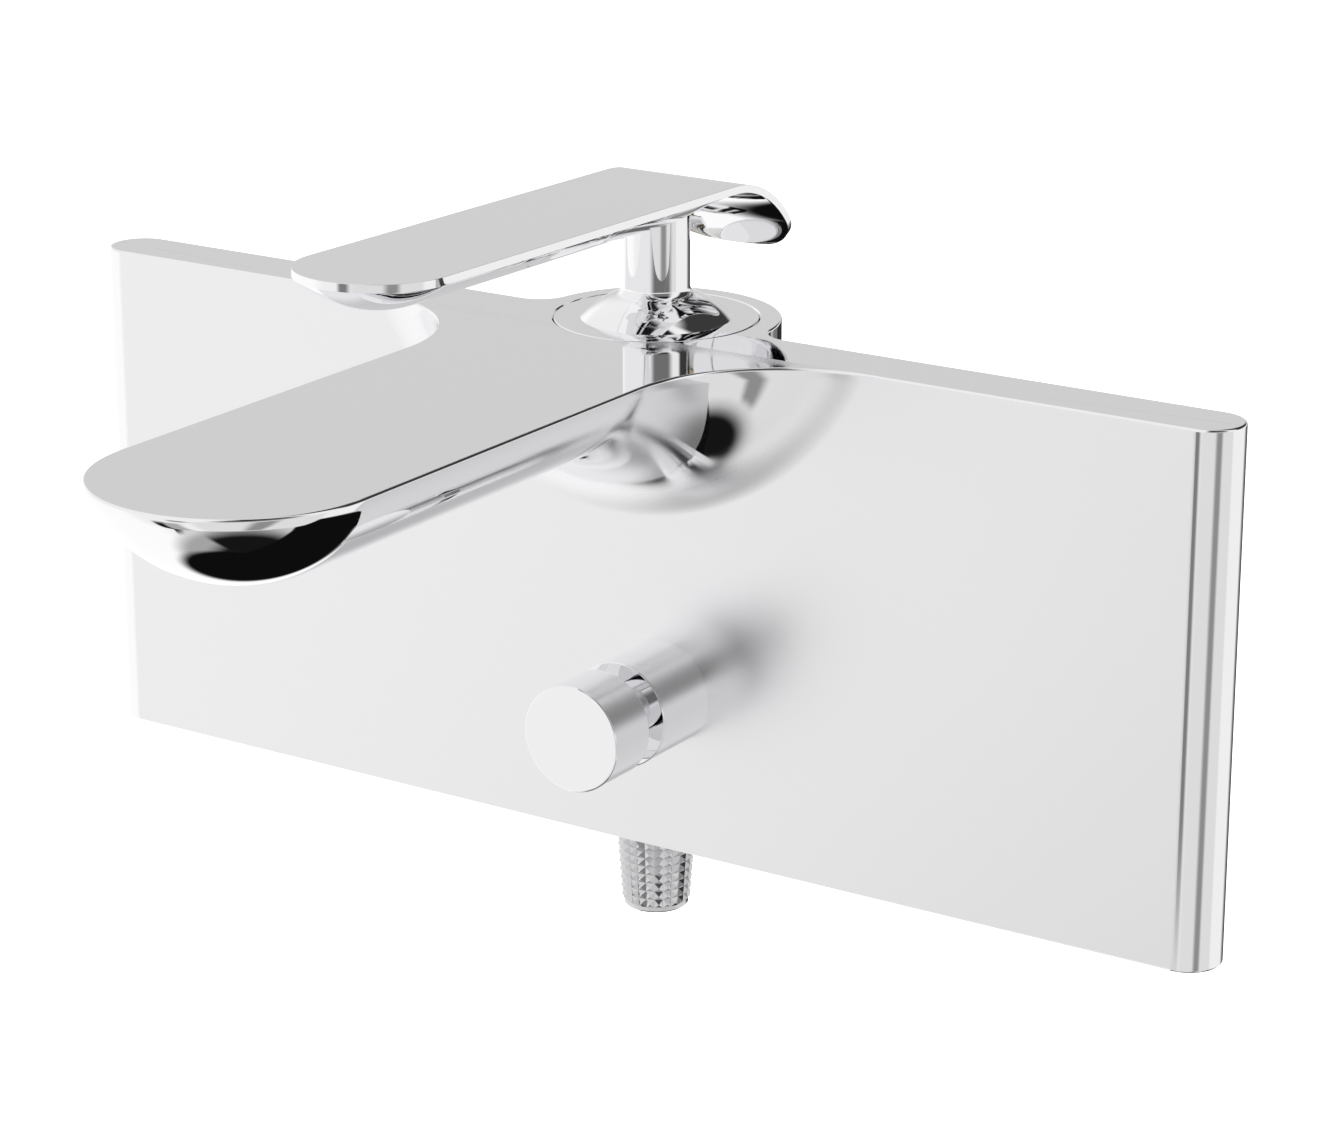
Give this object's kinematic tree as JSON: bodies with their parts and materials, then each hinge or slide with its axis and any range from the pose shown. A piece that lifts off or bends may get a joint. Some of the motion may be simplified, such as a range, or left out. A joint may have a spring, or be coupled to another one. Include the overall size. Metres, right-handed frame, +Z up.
{
  "type": "wall mounted bath mixer",
  "caption": "Wall mounted bath mixer: broad flat chrome plate, forward spout, top lever on a domed post, pull diverter and shower outlet below.",
  "frame": {"origin": "on the wall plane behind the mixer, midway between the two supply connections and at their height", "axes": "+X to the right for a person facing the mixer, +Y into the wall, +Z up; the spout points along -Y"},
  "size_m": [0.3, 0.2464, 0.1752],
  "materials": {
    "chrome": "polished chrome plate",
    "nipple_chrome": "chrome plate over a fine raised grip pattern",
    "brass": "machined",
    "stem_brass": "machined",
    "steel": "plain stainless",
    "ceramic": "lapped",
    "cartridge_plastic": "moulded",
    "slide_plastic": "moulded",
    "rubber": "moulded"
  },
  "bodies": {
    "mixer_body": {"body_casting": "chrome", "aerator_housing": "chrome", "union_nut_hot": "chrome", "union_nut_cold": "chrome", "wall_rosette_hot": "chrome", "wall_rosette_cold": "chrome", "cover_ring": "chrome", "diverter_collar": "chrome", "outlet_nipple": "nipple_chrome", "inlet_connector_hot": "brass", "inlet_connector_cold": "brass", "s_union_hot": "brass", "s_union_cold": "brass", "clamp_nut": "brass", "diverter_bush": "brass", "diverter_seat": "brass", "check_valve_body": "brass", "cover_screws": "steel", "diverter_spring": "steel", "check_valve_spring": "steel", "filter_washer_hot": "steel", "filter_washer_cold": "steel", "fixed_disc": "ceramic", "cartridge_base": "cartridge_plastic", "cartridge_housing": "cartridge_plastic", "aerator_insert": "cartridge_plastic", "back_cover_left": "cartridge_plastic", "back_cover_right": "cartridge_plastic", "slide_ring": "slide_plastic", "aerator_seal": "rubber", "cartridge_seals": "rubber", "diverter_seal": "rubber", "outlet_seal": "rubber"},
    "turntable": {"turn_sleeve": "cartridge_plastic", "pivot_pin": "steel"},
    "lever": {"cartridge_stem": "stem_brass", "dome_cap": "chrome", "lever_post": "chrome", "lever_blade": "chrome", "set_screw": "steel"},
    "mixing_disc": {"disc_carrier": "cartridge_plastic", "moving_disc": "ceramic"},
    "diverter": {"diverter_spindle": "brass", "diverter_knob": "chrome", "diverter_valve": "rubber"},
    "check_poppet": {"check_valve_poppet": "cartridge_plastic"}
  },
  "joints": [
    {"name": "temperature_turn", "type": "hinge", "parent": "mixer_body", "child": "turntable", "pos_m": [0, -0.0528, 0], "axis": [0, 0, 1], "range_deg": [-45, 45]},
    {"name": "flow_lift", "type": "hinge", "parent": "turntable", "child": "lever", "pos_m": [0, -0.0528, 0.0429], "axis": [-1, 0, 0], "range_deg": [0, 18]},
    {"name": "disc_slide", "type": "slide", "parent": "turntable", "child": "mixing_disc", "axis": [0, -1, 0], "range_m": [0, 0.00303]},
    {"name": "diverter_pull", "type": "slide", "parent": "mixer_body", "child": "diverter", "axis": [0, -1, 0], "range_m": [0, 0.008], "stiffness_N_per_m": 400, "deforming": ["diverter_spring"]},
    {"name": "check_poppet_slide", "type": "slide", "parent": "mixer_body", "child": "check_poppet", "axis": [0, 0, -1], "range_m": [0, 0.0025], "stiffness_N_per_m": 60, "deforming": ["check_valve_spring"]}
  ],
  "couplings": [
    {"joint": "disc_slide", "follows": "flow_lift", "m_per_rad": 0.00964}
  ]
}
